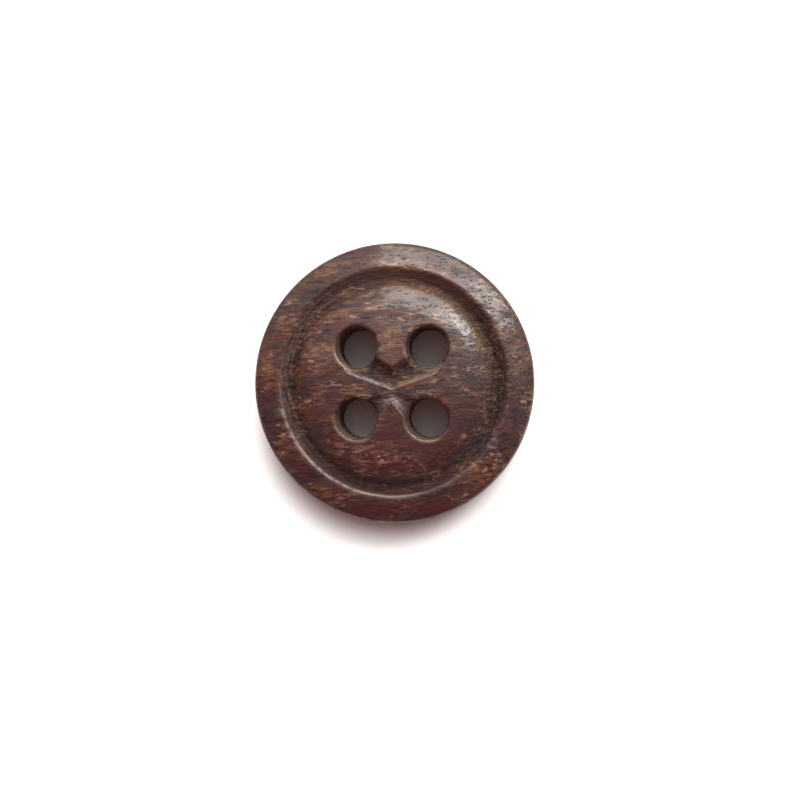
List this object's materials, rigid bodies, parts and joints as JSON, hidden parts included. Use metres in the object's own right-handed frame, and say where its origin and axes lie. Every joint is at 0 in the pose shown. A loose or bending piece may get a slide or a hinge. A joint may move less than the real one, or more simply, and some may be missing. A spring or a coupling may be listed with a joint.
{
  "type": "wooden sewing button",
  "caption": "Round turned hardwood sewing button with a domed crown, a ring groove, a sloping rim and drilled thread holes joined by carved thread channels.",
  "frame": {"origin": "centre of the flat back, on the surface that the button lies on", "axes": "+Z out of the worked face, +X and +Y along the sides of the square of thread holes, with the wider pair of thread channels towards +Y"},
  "size_m": [0.015, 0.015, 0.0036],
  "materials": {
    "wood": "dark reddish-brown open-pored hardwood, waxed to a satin gloss"
  },
  "bodies": {
    "root": {"button": "wood"}
  },
  "joints": []
}
